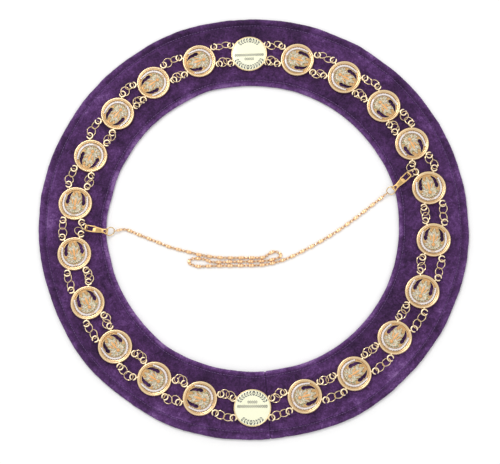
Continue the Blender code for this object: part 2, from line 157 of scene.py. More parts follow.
# Camera: its lens, and the row frame as the camera sees it, in metres
CAMERA_LENS, SENSOR_WIDTH = 122.6, 36.0
VIEW_OFFSET = (0.00243, 0.00547, -1.58125)
VIEW_TURNS = ((-12.70, "X"), (-2.36, "Y"), (0.02, "Z"))


# --- materials


class Surface:
    """A Principled material. Its methods add one node each and give back the node's output."""

    def __init__(self, name, colour, roughness, metallic=0.0):
        self.material = bpy.data.materials.new(name)
        self.material.use_nodes = True
        self.tree = self.material.node_tree
        self.shader = self.tree.nodes["Principled BSDF"]
        self.set("Base Color", colour)
        self.set("Roughness", roughness)
        self.set("Metallic", metallic)
        self.place = self.node("ShaderNodeTexCoord").outputs["Object"]

    def feed(self, socket, value):
        """Gives a socket an output or a value. A colour has three numbers."""
        if isinstance(value, bpy.types.NodeSocket):
            self.tree.links.new(value, socket)
        elif socket.type == "RGBA":
            socket.default_value = (*value, 1.0)
        else:
            socket.default_value = value

    def set(self, socket, value):
        self.feed(self.shader.inputs[socket], value)

    def node(self, kind, inputs=None, **settings):
        node = self.tree.nodes.new(kind)
        for setting, value in settings.items():
            setattr(node, setting, value)
        for socket, value in (inputs or {}).items():
            self.feed(node.inputs[socket], value)
        return node

    def noise(self, size, detail=3.0, rough=0.55, warp=0.0, place=None):
        """Noise whose features are about size millimetres across."""
        inputs = {"Vector": place or self.place, "Scale": 1 / (size * MM)}
        inputs |= {"Detail": detail, "Roughness": rough, "Distortion": warp}
        return self.node("ShaderNodeTexNoise", inputs).outputs["Fac"]

    def cells(self, size, output="Distance"):
        """Cells about size millimetres across."""
        inputs = {"Vector": self.place, "Scale": 1 / (size * MM)}
        return self.node("ShaderNodeTexVoronoi", inputs).outputs[output]

    def ramp(self, value, *stops):
        """Colours, or greys, along value. Stops are (position, colour or grey)."""
        ramp = self.node("ShaderNodeValToRGB", {"Fac": value})
        marks = ramp.color_ramp.elements
        while len(marks) < len(stops):
            marks.new(0.5)
        for mark, (position, colour) in zip(marks, stops):
            mark.position = position
            mark.color = (*(colour if isinstance(colour, tuple) else (colour,) * 3), 1.0)
        return ramp.outputs["Color"]

    def math(self, operation, one, two):
        node = self.node("ShaderNodeMath", operation=operation)
        self.feed(node.inputs[0], one)
        self.feed(node.inputs[1], two)
        return node.outputs[0]

    def total(self, *terms):
        """The sum of outputs, each times its weight."""
        result = None
        for value, weight in terms:
            part = self.math("MULTIPLY", value, weight)
            result = self.math("ADD", result, part) if result else part
        return result

    def mix(self, share, one, two, blend="MIX"):
        node = self.node("ShaderNodeMix", data_type="RGBA", blend_type=blend)
        for number, value in ((0, share), (6, one), (7, two)):
            self.feed(node.inputs[number], value)
        return node.outputs[2]

    def crevices(self, reach):
        """How shut in a point is, for painted shade: 0 in the open and 1 in narrow places, looking reach
        millimetres round each point.
        """
        shade = self.node("ShaderNodeAmbientOcclusion", {"Distance": reach * MM}, samples=6)
        return self.ramp(shade.outputs["AO"], (0.25, 1.0), (0.85, 0.0))

    def bump(self, height, depth):
        """A relief of height, which runs from 0 to 1, depth millimetres deep."""
        bump = self.node("ShaderNodeBump", {"Height": height, "Distance": depth * MM})
        self.set("Normal", bump.outputs["Normal"])


def gold(name, bright, deep, rough, crevice_shade=0.8, reach=1.2, stipple=0.0):
    """Polished gilding: slightly uneven colour, faint scratches, and painted shade of the deep colour in its
    crevices.
    """
    s = Surface(name, bright, rough, 1.0)
    cloud = s.noise(5.0, 4.0)
    drawn_out = s.node("ShaderNodeMapping", {"Vector": s.place, "Scale": (1.0, 0.12, 1.0)}).outputs[0]
    scratch = s.noise(0.35, 5.0, 0.7, place=drawn_out)
    colour = s.mix(s.ramp(cloud, (0.35, 0.0), (0.7, 1.0)), bright, tuple(0.93 * c for c in bright))
    # Painted shade: the crevices are darkened towards the deep colour.
    shade = s.math("MULTIPLY", s.crevices(reach), crevice_shade)
    s.set("Base Color", s.mix(shade, colour, deep))
    s.set("Roughness", s.ramp(s.noise(1.2, 6.0, 0.65), (0.3, 0.75 * rough), (0.75, 1.45 * rough)))
    if stipple:
        dots = s.ramp(s.cells(0.5), (0.1, 1.0), (0.6, 0.0))
        s.bump(s.math("ADD", dots, s.math("MULTIPLY", scratch, 0.3)), stipple)
    else:
        s.bump(scratch, 0.008)
    return s.material


def velvet_material():
    """Velvet mottled at several scales. An attribute of the mesh makes it lighter or darker from place to
    place: its pile brushed lighter, painted sheen on the rolled edges, painted light under the band of discs
    and painted shade in the stitch grooves.
    """
    s = Surface("velvet", (0.07, 0.022, 0.13), 0.85)
    s.set("Sheen Weight", 0.4)
    s.set("Sheen Roughness", 0.35)
    s.set("Sheen Tint", (0.72, 0.42, 0.90))
    s.set("Specular IOR Level", 0.15)
    nap_and_painted_light = s.node("ShaderNodeAttribute", attribute_name="nap_and_painted_light").outputs["Fac"]
    crush = s.total((s.noise(34.0, 4.0, 0.6, 0.7), 0.55), (s.noise(12.0, 4.0, 0.6, 1.2), 0.45))
    brushed = s.noise(4.2, 4.0, 0.6, 1.6)
    pile = s.noise(1.3, 3.0, 0.75)
    mottle = s.total((crush, 1.9), (brushed, 0.9), (pile, 0.8))
    tone = s.math("ADD", s.math("SUBTRACT", mottle, 1.80), nap_and_painted_light)
    colour = s.ramp(
        tone,
        (0.0, (0.020, 0.007, 0.030)),
        (0.28, (0.043, 0.016, 0.062)),
        (0.52, (0.073, 0.0255, 0.107)),
        (0.76, (0.126, 0.050, 0.188)),
        (1.0, (0.240, 0.125, 0.320)),
    )
    s.set("Base Color", colour)
    s.set("Roughness", s.ramp(brushed, (0.3, 0.95), (0.7, 0.72)))
    s.bump(s.total((s.noise(0.45, 2.0, 0.8), 0.45), (brushed, 0.9)), 0.55)
    return s.material


def thread_material():
    s = Surface("thread", (0.17, 0.08, 0.27), 0.6)
    twist = s.noise(0.5, 2.0, 0.6)
    s.set("Base Color", s.ramp(twist, (0.3, (0.09, 0.04, 0.14)), (0.7, (0.22, 0.12, 0.31))))
    s.bump(twist, 0.08)
    return s.material


def enamel(name, colour, tint, fleck=0.0):
    """Fired enamel: a glassy coat over an almost even colour, faintly orange-peeled, with painted shade in
    its crevices.
    """
    s = Surface(name, colour, 0.28)
    s.set("Coat Weight", 0.6)
    s.set("Coat Roughness", 0.08)
    cloud = s.noise(2.6, 4.0)
    colour = s.mix(s.ramp(cloud, (0.4, 0.0), (0.7, 1.0)), colour, tint)
    if fleck:
        grain = s.ramp(s.noise(0.3, 3.0, 0.7), (0.42, 1.0), (0.62, 0.0))
        colour = s.mix(s.math("MULTIPLY", grain, fleck), colour, tuple(0.55 * c for c in tint))
    # Painted shade: brown in the enamel's crevices.
    s.set("Base Color", s.mix(s.math("MULTIPLY", s.crevices(0.7), 0.55), colour, (0.45, 0.27, 0.12)))
    s.set("Roughness", s.ramp(cloud, (0.3, 0.2), (0.75, 0.36)))
    s.bump(s.noise(0.8, 2.0), 0.04)
    return s.material


def glitter_material():
    """Silvered relief under glitter enamel: tiny flakes of champagne, silver, green and lilac."""
    s = Surface("silver_glitter", (0.6, 0.58, 0.46), 0.38, 0.55)
    pick = s.cells(0.85, "Color")
    flakes = s.ramp(
        s.node("ShaderNodeSeparateColor", {"Color": pick}).outputs[0],
        (0.0, (0.30, 0.32, 0.16)),
        (0.25, (0.60, 0.50, 0.30)),
        (0.48, (0.86, 0.75, 0.52)),
        (0.70, (0.50, 0.49, 0.34)),
        (0.86, (0.66, 0.53, 0.50)),
        (1.0, (0.97, 0.92, 0.76)),
    )
    dust = s.ramp(s.noise(0.5, 2.0), (0.35, 0.75), (0.65, 1.0))
    flakes = s.mix(1.0, flakes, dust, "MULTIPLY")
    # Painted shade: dark brown in the relief's crevices.
    s.set("Base Color", s.mix(s.math("MULTIPLY", s.crevices(0.9), 0.9), flakes, (0.16, 0.09, 0.04)))
    s.set("Roughness", s.ramp(s.cells(0.4), (0.1, 0.22), (0.6, 0.5)))
    s.bump(s.cells(0.5), 0.22)
    return s.material


def ink_material():
    s = Surface("grey_engraving", (0.07, 0.07, 0.09), 0.5, 0.3)
    wear = s.noise(0.7, 4.0, 0.7)
    s.set("Base Color", s.ramp(wear, (0.35, (0.045, 0.045, 0.06)), (0.75, (0.15, 0.15, 0.15))))
    s.bump(wear, 0.05)
    return s.material


def floor_material():
    s = Surface("floor", (0.9, 0.9, 0.9), 0.7)
    s.set("Base Color", s.ramp(s.noise(90.0, 2.0), (0.3, (0.93, 0.93, 0.925)), (0.7, (0.94, 0.94, 0.935))))
    s.set("Specular IOR Level", 0.2)
    return s.material


# --- shapes


def outward_mesh(name, points, faces):
    """A mesh of closed bodies, its faces turned to look outwards."""
    mesh = bpy.data.meshes.new(name)
    mesh.from_pydata(points, [], faces)
    bm = bmesh.new()
    bm.from_mesh(mesh)
    bmesh.ops.recalc_face_normals(bm, faces=bm.faces)
    bm.to_mesh(mesh)
    bm.free()
    return mesh


def placed(name, data):
    """An object in the scene."""
    thing = bpy.data.objects.new(name, data)
    bpy.context.scene.collection.objects.link(thing)
    return thing


class Shape:
    """Closed bodies in millimetres, gathered into one mesh with several materials."""

    def __init__(self):
        self.points, self.faces, self.slots = [], [], []

    def add(self, body, slot=0, matrix=None):
        points, faces = body
        start = len(self.points)
        if matrix is not None:
            points = [matrix @ Vector(point) for point in points]
        self.points.extend(tuple(point) for point in points)
        self.faces.extend(tuple(start + k for k in face) for face in faces)
        self.slots.extend([slot] * len(faces))

    def mesh(self, name, materials, sharp=40):
        mesh = outward_mesh(name, [[c * MM for c in point] for point in self.points], self.faces)
        for material in materials:
            mesh.materials.append(material)
        mesh.polygons.foreach_set("material_index", self.slots)
        mesh.shade_smooth()
        mesh.set_sharp_from_angle(angle=math.radians(sharp))
        return mesh


def piece(name, mesh, slot, nodes, body="collar", matrix=None):
    """A visible piece that rides on a body and stands for CAD nodes. The matrix is in millimetres."""
    thing = placed(name, mesh)
    if matrix is not None:
        thing.matrix_world = Matrix.Scale(MM, 4) @ matrix @ Matrix.Scale(1 / MM, 4)
    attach(thing, body)
    if nodes:
        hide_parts(*nodes)
    return thing


def bands(rows, sides, closed):
    """Quads between rows of sides points each, with caps unless the rows run round."""
    faces = []
    for k in range(rows if closed else rows - 1):
        one, two = k * sides, (k + 1) % rows * sides
        for j in range(sides):
            after = (j + 1) % sides
            faces.append((one + j, one + after, two + after, two + j))
    if not closed:
        faces.append(tuple(range(sides)))
        faces.append(tuple((rows - 1) * sides + j for j in range(sides)))
    return faces


def lathe(profile, sides, closed=False):
    """A profile of (radius, height) turned about Z. An open one is capped at both ends."""
    turns = [TAU * k / sides for k in range(sides)]
    points = [(r * math.cos(t), r * math.sin(t), z) for r, z in profile for t in turns]
    return points, bands(len(profile), sides, closed)


def tube(path, radii, sides=8, closed=False, up=UP, thin=1.0, twist=0.0, roll=0.0):
    """A bar along a path. It has one radius or one for each point, and thin squashes its section."""
    path = [Vector(point) for point in path]
    last = len(path) - 1
    if not isinstance(radii, (list, tuple)):
        radii = [radii] * len(path)
    points = []
    for k, centre in enumerate(path):
        before = path[k - 1] if k or closed else centre
        after = path[(k + 1) % len(path)] if k < last or closed else centre
        run = (after - before).normalized()
        across = run.cross(up).normalized()
        rise = across.cross(run)
        for j in range(sides):
            turn = TAU * (j + 0.5) / sides + math.radians(roll + twist * k / len(path))
            away = math.cos(turn) * across + thin * math.sin(turn) * rise
            points.append(centre + float(radii[k]) * away)
    return points, bands(len(path), sides, closed)


def spoke(angle, radius=1.0, z=0.0):
    """The point at an angle from +X, a radius and a height."""
    turn = math.radians(angle)
    return Vector((radius * math.cos(turn), radius * math.sin(turn), z))


def arc(centre, normal, radius, start=0.0, sweep=360.0, steps=28):
    """Points along an arc about normal. A full circle doesn't repeat its first point."""
    side = UP.cross(normal)
    side = side.normalized() if side.length > 1e-6 else Vector((1, 0, 0))
    other = normal.cross(side)
    count = steps if sweep == 360.0 else steps + 1
    turns = [math.radians(start + sweep * k / steps) for k in range(count)]
    return [Vector(centre) + radius * (math.cos(t) * side + math.sin(t) * other) for t in turns]


def level_arc(radius, low, high, count, z):
    """Points at a height between two angles from +X."""
    return [spoke(angle, radius, z) for angle in np.linspace(low, high, count)]


def torus(centre, normal, radius, wire, steps=28, sides=8):
    return tube(arc(centre, normal, radius, steps=steps), wire, sides, True, normal)


def rounded_ends(count, radius):
    """Radii of a bar whose ends are rounded over their first two steps."""
    return [radius * {0: 0.45, 1: 0.85}.get(min(k, count - 1 - k), 1.0) for k in range(count)]


def dome(radius, height, sides=10, drop=0.4):
    """A low round bead on z = 0."""
    curve = [(radius, -drop), (radius, 0.0)]
    curve += [(radius * math.cos(t), height * math.sin(t)) for t in (0.4, 0.8, 1.2, 1.48)]
    return lathe(curve, sides)


def leaf(length, width, height, drop=0.7, fullest=1.0, curl=0.0, vein=0.0, rows=9, columns=6):
    """A domed leaf along +Y. Curl bends its tip to +X, and vein is the depth of a groove along it."""
    points, grid = [], {}
    for i in range(rows + 1):
        t = i / rows
        half = max(0.04, math.sin(math.pi * min(1.0, 0.06 + 0.92 * t) ** fullest) ** 0.8) * width / 2
        for j in range(columns + 1):
            s = 2 * j / columns - 1
            crown = math.sqrt(max(0.0, 1 - s * s)) * (0.35 + 0.65 * math.sin(math.pi * (0.1 + 0.82 * t)))
            groove = vein * math.exp(-((s / 0.22) ** 2)) * math.sin(math.pi * t)
            grid[i, j] = len(points)
            points.append((s * half + curl * t * t, t * length, height * crown - groove))
    faces = [
        (grid[i, j], grid[i, j + 1], grid[i + 1, j + 1], grid[i + 1, j])
        for i in range(rows)
        for j in range(columns)
    ]
    edge = [grid[0, j] for j in range(columns + 1)]
    edge += [grid[i, columns] for i in range(1, rows + 1)]
    edge += [grid[rows, j] for j in range(columns - 1, -1, -1)]
    edge += [grid[i, 0] for i in range(rows - 1, 0, -1)]
    under = []
    for k in edge:
        under.append(len(points))
        points.append((points[k][0], points[k][1], -drop))
    for k in range(len(edge)):
        after = (k + 1) % len(edge)
        faces.append((edge[k], edge[after], under[after], under[k]))
    faces.append(tuple(under))
    return points, faces


def smoothly(points, steps):
    """A Catmull-Rom curve from the second point up to, but without, the last but one."""
    curve = []
    for p0, p1, p2, p3 in zip(points, points[1:], points[2:], points[3:]):
        for t in (k / steps for k in range(steps)):
            pull = (p2 - p0) * t + (2 * p0 - 5 * p1 + 4 * p2 - p3) * t**2
            curve.append(p1 + 0.5 * (pull + (3 * p1 - p0 - 3 * p2 + p3) * t**3))
    return curve


def rounded_corners(outline, radius):
    """An outline in the plane with each corner cut back into a short curve."""
    corners = [Vector(point) for point in outline]
    curve = []
    for k, corner in enumerate(corners):
        before, after = corners[k - 1] - corner, corners[(k + 1) % len(corners)] - corner
        start = corner + before.normalized() * min(radius, 0.42 * before.length)
        end = corner + after.normalized() * min(radius, 0.42 * after.length)
        for t in (0.0, 0.33, 0.67, 1.0):
            curve.append((1 - t) ** 2 * start + 2 * t * (1 - t) * corner + t * t * end)
    return curve


def inset(outline, depth):
    """The outline moved inwards. It runs counter-clockwise or clockwise."""
    area = sum(a.x * b.y - a.y * b.x for a, b in zip(outline, outline[1:] + outline[:1]))
    moved = []
    for k, point in enumerate(outline):
        run = (point - outline[k - 1]).normalized() + (outline[(k + 1) % len(outline)] - point).normalized()
        inwards = Vector((-run.y, run.x)).normalized() * (1 if area > 0 else -1)
        moved.append(point + depth * inwards)
    return moved


def slab(outline, low, high, edge=0.0):
    """A flat shape between two heights, its upper and lower edges eased by edge."""
    levels = [(0.0, low), (0.0, high)]
    if edge:
        levels = [(edge, low), (0.3 * edge, low + 0.3 * edge), (0.0, low + edge)]
        levels += [(0.0, high - edge), (0.3 * edge, high - 0.3 * edge), (edge, high)]
    points = []
    for depth, z in levels:
        points.extend((p.x, p.y, z) for p in (inset(outline, depth) if depth else outline))
    return points, bands(len(levels), len(outline), False)


def cut(body, cutters):
    """A body with others taken out of it by exact Booleans."""
    things = [placed("cutting", outward_mesh("cutting", *one)) for one in (body, *cutters)]
    for thing in things[1:]:
        step = things[0].modifiers.new("Cut", "BOOLEAN")
        step.operation, step.solver, step.object = "DIFFERENCE", "EXACT", thing
    bpy.context.view_layer.update()
    result = things[0].evaluated_get(bpy.context.evaluated_depsgraph_get()).to_mesh()
    points = [tuple(v.co) for v in result.vertices]
    faces = [tuple(p.vertices) for p in result.polygons]
    for thing in things:
        bpy.data.objects.remove(thing)
    return points, faces


def turned(angle, axis="Z"):
    return Matrix.Rotation(math.radians(angle), 4, axis)


def turn_to(angle, radius=0.0, aim=0.0, z=0.0):
    """A place at an angle and radius in the plane, its +Y turned aim degrees from straight outwards."""
    return turned(angle) @ Matrix.Translation((radius, 0, z)) @ turned(aim - 90)


# --- collar


def collar_profile():
    """The collar's cross-section from the inner edge over the top to the outer edge and back underneath."""
    top = [(OPENING_R, 1.9), (136.15, 2.7), (136.6, 3.5), (137.4, 4.1), (138.5, 4.4), (139.6, 4.3)]
    top += [(140.5, 3.85), (INNER_STITCH_R, 3.2), (142.1, 3.85), (143.2, 4.25), (145.0, 4.4), (147.5, 4.35)]
    top += [(150.0, 4.16)] + [(152.5 + 2.6 * k, 4.1) for k in range(14)]
    top += [(188.2, 4.22), (190.0, 4.35), (191.2, 4.15), (192.0, 3.75), (OUTER_STITCH_R, 3.15)]
    top += [(193.5, 3.85), (194.6, 4.3), (196.0, 4.5), (197.6, 4.35), (198.8, 3.8), (199.6, 3.0)]
    top += [(COLLAR_R, 2.1)]
    under = [(199.8, 1.1), (199.0, 0.35), (197.6, 0.0), (188.0, 0.0), (168.0, 0.0), (148.0, 0.0)]
    under += [(138.2, 0.0), (136.9, 0.3), (136.2, 1.0)]
    return top, under


def bell(value, middle, width):
    """1 at middle, fading to 0 at about twice width to either side."""
    return math.exp(-(((value - middle) / width) ** 2))


def climb(value, middle, width):
    """From 0 well below middle to 1 well above it, or the other way round if width is negative."""
    return 1 / (1 + math.exp(-(value - middle) / width))


def swells(azimuth, places):
    """The sum of the places round the collar, each fading over its half width."""
    return sum(
        height * bell((azimuth - middle + 180) % 360 - 180, 0, width) for middle, width, height in places
    )


def soft_radius(azimuth, radius):
    """Where a circle on the velvet really runs: both edges of the ring are a little oval and bulge."""
    turn = math.radians(azimuth)
    waves = (1.0, math.cos(turn), math.sin(turn), math.cos(2 * turn), math.sin(2 * turn))
    outer = sum(a * b for a, b in zip((0.0, -0.2, 1.4, -0.5, -0.9), waves))
    inner = sum(a * b for a, b in zip((-0.4, 0.0, -0.7, -0.5, -0.6), waves))
    outer += swells(azimuth, OUTER_BULGES)
    inner += swells(azimuth, INNER_BULGES)
    # The inner edge keeps its place beside the two jump rings, which hang close to it.
    for middle in (14, 182):
        inner *= 1 - swells(azimuth, [(middle, 11.0, 1.0)])
    near_outer = min(1.0, max(0.0, (radius - STEADY_TO) / FADE))
    near_inner = min(1.0, max(0.0, (STEADY_FROM - radius) / FADE))
    return radius + near_outer * outer + near_inner * inner


def nap_and_painted_lightness(azimuth, radius):
    """How light the velvet is, from dark at 0 to light at 1: its pile brushed lighter in places, painted
    sheen on the rolled edges, painted light under the band of discs, painted shade in the stitch grooves,
    and lighter just inside the outer stitching and darker just outside it.
    """
    margin = climb(radius, 182.0, 2.6) * (1 - 0.45 * climb(radius, 193.8, 0.8))
    # Painted sheen: both rolled edges are lighter.
    rolled_edge_sheen = 0.7 * bell(radius, 198.4, 2.0) + 1.8 * bell(radius, 136.8, 2.8)
    beside_stitches = bell(radius, 191.3, 0.8) - 0.8 * bell(radius, 194.6, 1.0)
    # Painted light: lighter under the band of discs, against the shade that they cast.
    painted_light_under_chain = math.exp(-(((radius - 167) / 17.0) ** 4))
    # Painted shade: darker in the grooves of the stitch lines.
    groove_shade = bell(radius, OUTER_STITCH_R, 1.1) + bell(radius, INNER_STITCH_R, 0.9)
    light = 0.38 + margin * (0.02 + swells(azimuth, MARGIN_LIGHTS))
    light += swells(azimuth, INNER_LIGHTS) * (radius < 152)
    light += swells(azimuth, HEM_LIGHTS) * climb(radius, 140.9, -0.5)
    return light + 0.20 * rolled_edge_sheen + 0.12 * beside_stitches + 0.05 * painted_light_under_chain - 0.08 * groove_shade


def edge_waves(ray):
    """How far the outer and inner edges wander at a place round the collar."""
    outer = 0.55 * noise.noise(ray * 9.0) + 0.25 * noise.noise(ray * 40.0) - 0.15
    inner = 0.40 * abs(noise.noise(ray * 8.0 + UP * 5)) + 0.18 * abs(noise.noise(ray * 36.0))
    return outer, inner


def relief(azimuth, radius, z, dip):
    """The height of the velvet's top, soft and uneven except where the discs press it nearly flat."""
    free = min(1.0, max(0.0, (abs(radius - DISCS_R) - PRESSED) / 4.0))
    spot = spoke(azimuth) * radius
    soft = noise.noise(spot * 0.045) + 0.5 * noise.noise(spot * 0.16)
    fine = noise.noise(spot * 0.7 + UP * 3)
    z += (0.05 + 0.22 * free) * soft + (0.02 + 0.10 * free) * fine
    z += dip
    if z > 3.5:
        z += 0.05 * free * math.sin(math.radians(azimuth) * RIPPLES)
    return z


def build_velvet():
    top, under = collar_profile()
    section = top + under
    azimuths = {k * 0.5 for k in range(720)}
    azimuths |= {SEAM_AZIMUTH + side * away for side in (1, -1) for away in (0.03, 0.09, 0.16, 0.24, 0.34)}
    points, nap_and_painted_light = [], []
    for azimuth in sorted(azimuths):
        ray = spoke(azimuth)
        outer_wave, inner_wave = edge_waves(ray)
        from_seam = azimuth - SEAM_AZIMUTH
        seam, notch = bell(from_seam, 0, 0.17), bell(from_seam, 0, 0.3)
        beside = bell(abs(from_seam), 0.42, 0.2)
        for k, (radius, z) in enumerate(section):
            share = (radius - OPENING_R) / (COLLAR_R - OPENING_R)
            outer = max(0.0, (share - 0.8) / 0.2) ** 2
            inner = max(0.0, (0.2 - share) / 0.2) ** 2
            r = soft_radius(azimuth, radius) + outer * outer_wave + inner * inner_wave
            r += 1.1 * notch * inner - 0.7 * seam * outer
            light = 0.3
            if k < len(top):
                light = nap_and_painted_lightness(azimuth, radius) - 0.24 * seam + 0.08 * beside
                z = relief(azimuth, radius, z, 0.12 * beside - 0.7 * seam)
            points.append((r * ray.x, r * ray.y, max(0.0, z)))
            nap_and_painted_light.append(light)
    shape = Shape()
    shape.add((points, bands(len(azimuths), len(section), True)))
    mesh = shape.mesh("velvet_pad", [velvet_material()], 80)
    mesh.attributes.new("nap_and_painted_light", "FLOAT", "POINT").data.foreach_set("value", nap_and_painted_light)
    pad = piece("velvet_pad", mesh, "velvet", ["velvet_collar"])


def build_stitches(name, radius, material):
    """A line of sewn stitches, each a short thread that dips into the velvet at both ends."""
    shape = Shape()
    count = round(TAU * radius / STITCH_PITCH)
    for k in range(count):
        azimuth = 360 * (k + random.uniform(-0.06, 0.06)) / count
        place = soft_radius(azimuth, radius) + random.uniform(-0.06, 0.06)
        matrix = turn_to(azimuth, place, 90 + random.uniform(-3, 3), STITCH_Z)
        half = 0.40 * STITCH_PITCH
        path = [(0, s * half, 0.42 * (1 - s * s) - 0.18) for s in (-1, -0.6, 0, 0.6, 1)]
        shape.add(tube(path, [0.14, 0.24, 0.27, 0.24, 0.14], 6), 0, matrix)
    piece(name, shape.mesh(name, [material]), "velvet", [])


# --- discs


def add_loops(shape, slot):
    """The four cast loops and the lugs that carry them."""
    path = arc((0, 0, 0), UP, LOOP_R, LOOP_START, LOOP_END - LOOP_START, 24)
    wire = tube(path, rounded_ends(len(path), LOOP_WIRE_R), 10)
    start, stop = MEDALLION_R - 1.3, math.hypot(LOOP_ACROSS, LOOP_ALONG) - LOOP_R + 0.15
    path = [(0, start + (stop - start) * t, 0) for t in (0, 0.35, 0.7, 1)]
    lug = tube(path, [0.95, 0.72, 0.6, 0.66], 8, thin=0.75)
    for side, end in itertools.product((1, -1), repeat=2):
        centre = Matrix.Translation((side * LOOP_ACROSS, end * LOOP_ALONG, LOOP_Z))
        shape.add(wire, slot, centre @ Matrix.Diagonal((side, end, 1, 1)))
        angle = math.degrees(math.atan2(end * LOOP_ALONG, side * LOOP_ACROSS))
        shape.add(lug, slot, turn_to(angle, 0, 0, LOOP_Z - 0.2))


def add_field(shape):
    """A disc with two piercings, each edged with wire."""
    corners = [(5.3, 1.2), (7.2, -1.3), (9.1, -0.2), (9.6, 2.8), (8.9, 6.0)]
    corners += [(7.2, 9.0), (4.6, 11.0), (3.2, 11.2), (4.2, 9.0), (5.3, 6.0)]
    outlines = []
    for side in (1, -1):
        ring = [Vector((side * x, y)) for x, y in corners]
        outlines.append(smoothly([ring[-1], *ring, *ring[:2]], 5))
    blank = lathe([(15.2, 4.4), (13.4, 4.6), (13.3, FIELD_HIGH - 0.15)], 72)
    shape.add(cut(blank, [slab(outline, 3.5, 7.5) for outline in outlines]), FIELD)
    for outline in outlines:
        path = [(p.x, p.y, FIELD_HIGH - 0.15) for p in outline]
        shape.add(tube(path, 0.24, 6, True), RIM)


def wreath_flare(share):
    """How far a branch has turned out to the rim, from 0 along its run to 1 at its tip."""
    return (max(0.0, share - 0.74) / 0.26) ** 1.3


def add_wreath(shape):
    """A white band open at the top, with two branches of leaves along it, between two wires."""
    outer, inner = [], []
    for share in np.linspace(-1, 1, 49):
        flare = wreath_flare(abs(share))
        middle, half = WREATH_R + WREATH_FLARE * flare, 0.80 * (1.0 - 0.3 * flare)
        turn = math.radians(WREATH_SPAN * share)
        ray = Vector((math.sin(turn), -math.cos(turn)))
        outer.append(ray * (middle + half))
        inner.append(ray * (middle - half))
    shape.add(slab(outer + inner[::-1], FIELD_HIGH - 0.4, FIELD_HIGH + 0.4, 0.14), WHITE)
    for side, k in itertools.product((1, -1), range(WREATH_LEAVES)):
        away = FIRST_LEAF + LEAF_STEP * k
        radius = WREATH_R + WREATH_FLARE * wreath_flare(away / WREATH_SPAN)
        size = 1.0 - 0.018 * k
        blade = leaf(2.3 * size, 0.75 * size, 0.34, 0.3, 0.85, rows=6, columns=4, vein=0.1)
        for offset, aim in ((0.28, 70), (-0.28, 110)):
            place = turn_to(-90 + side * away, radius + offset, side * aim, FIELD_HIGH + 0.3)
            shape.add(blade, WHITE, place)
    for turn in (-97, -90, -83):
        shape.add(dome(0.62, 0.5, 10), RIM, turn_to(turn, WREATH_R, 0, FIELD_HIGH + 0.4))
    for radius, low, high in ((9.75, -212, 32), (12.5, -190, 10)):
        wire = level_arc(radius, low, high, 60, FIELD_HIGH - 0.05)
        shape.add(tube(wire, rounded_ends(60, 0.22), 6), RIM)


def add_palmette(shape):
    """Silvered petals that rise from a boss low in the field, with drops of orange enamel on them."""
    root = Vector((0, -4.6, FIELD_HIGH - 0.1))

    def from_root(x=0, y=0, z=0):
        return Matrix.Translation(root + Vector((x, y, z)))

    # Angle from the top, length, width, height, curl, and how far back the petal is fullest
    petals = (
        (0, 15.2, 5.8, 1.15, 0.0, 1.15), (15, 13.8, 3.9, 0.85, 1.2, 1.2), (33, 9.8, 3.3, 0.75, 0.9, 1.1),
        (56, 7.9, 3.1, 0.75, 1.0, 1.0), (80, 8.6, 3.1, 0.75, 0.9, 0.9), (104, 7.7, 3.1, 0.7, -0.8, 0.9),
        (130, 6.3, 3.1, 0.7, -0.5, 0.9), (156, 5.2, 2.9, 0.7, -0.3, 0.9),
    )
    for angle, length, width, height, curl, fullest in petals:
        for side in (1, -1) if angle else (1,):
            petal = leaf(length, width, height, 1.0, fullest, side * curl, 0.22, 10, 8)
            shape.add(petal, GLITTER, from_root() @ turned(-side * angle))
    shape.add(leaf(4.9, 2.6, 0.7, 1.0, 0.9, 0, 0.15), GLITTER, from_root() @ turned(180))

    shape.add(leaf(8.8, 2.5, 0.7, 0.6, 1.2), ORANGE, from_root(0, 1.6, 0.9))
    for side in (1, -1):
        drop = leaf(5.6, 1.35, 0.55, 0.6, 1.1)
        shape.add(drop, ORANGE, from_root(side * 2.1, 3.6, 0.6) @ turned(-side * 17))
        shape.add(dome(0.55, 0.55, 10), ORANGE, from_root(side * 3.6, -0.9, 0.7))
    shape.add(dome(1.45, 1.0, 16, 1.0), ORANGE, from_root(0, 0, 0.75))
    shape.add(torus(root + Vector((0, 0, 0.85)), UP, 1.55, 0.24, 20, 6), RIM)
    for k in range(9):
        place = turn_to(-90 + 11.5 * (k - 4), 9.2, 0, FIELD_HIGH - 0.1)
        shape.add(dome(0.52, 0.5, 8), GLITTER, place)


def medallion_mesh(materials):
    shape = Shape()
    rim = [(13.0, 5.0), (12.95, 6.45), (13.1, 6.75), (13.35, 6.8), (13.55, 6.62), (13.75, 6.7)]
    rim += [(14.1, 7.15), (14.5, 7.43), (14.9, 7.48), (15.35, 7.3), (15.75, 6.8), (16.0, 6.0)]
    rim += [(15.9, 5.1), (15.5, 4.5), (15.0, 4.3)]
    shape.add(lathe(rim, 72, True), RIM)
    add_field(shape)
    add_wreath(shape)
    add_palmette(shape)
    add_loops(shape, LOOPS)
    return shape.mesh("medallion_cast", materials, 45)


def add_sprays(shape, up):
    """A leafy spray above the middle of a plate and a shorter one below it."""
    for middle, span, count in ((90, 66, 13), (-90, 44, 9)):
        for k in range(count):
            turn = middle + span * (2 * k / (count - 1) - 1)
            side = 1 if turn < middle else -1
            for offset, spread in ((0.62, -38), (-0.62, 38)):
                place = turn_to(turn, SPRAY_R + offset, side * (90 + spread), ENGRAVING_HIGH)
                shape.add(leaf(2.5, 1.4, 0.14, 0.3, 0.85, rows=5, columns=4), INK, up @ place)
        stem = level_arc(SPRAY_R, middle - span, middle + span, 40, ENGRAVING_HIGH)
        shape.add(tube([up @ point for point in stem], 0.2, 5), INK)


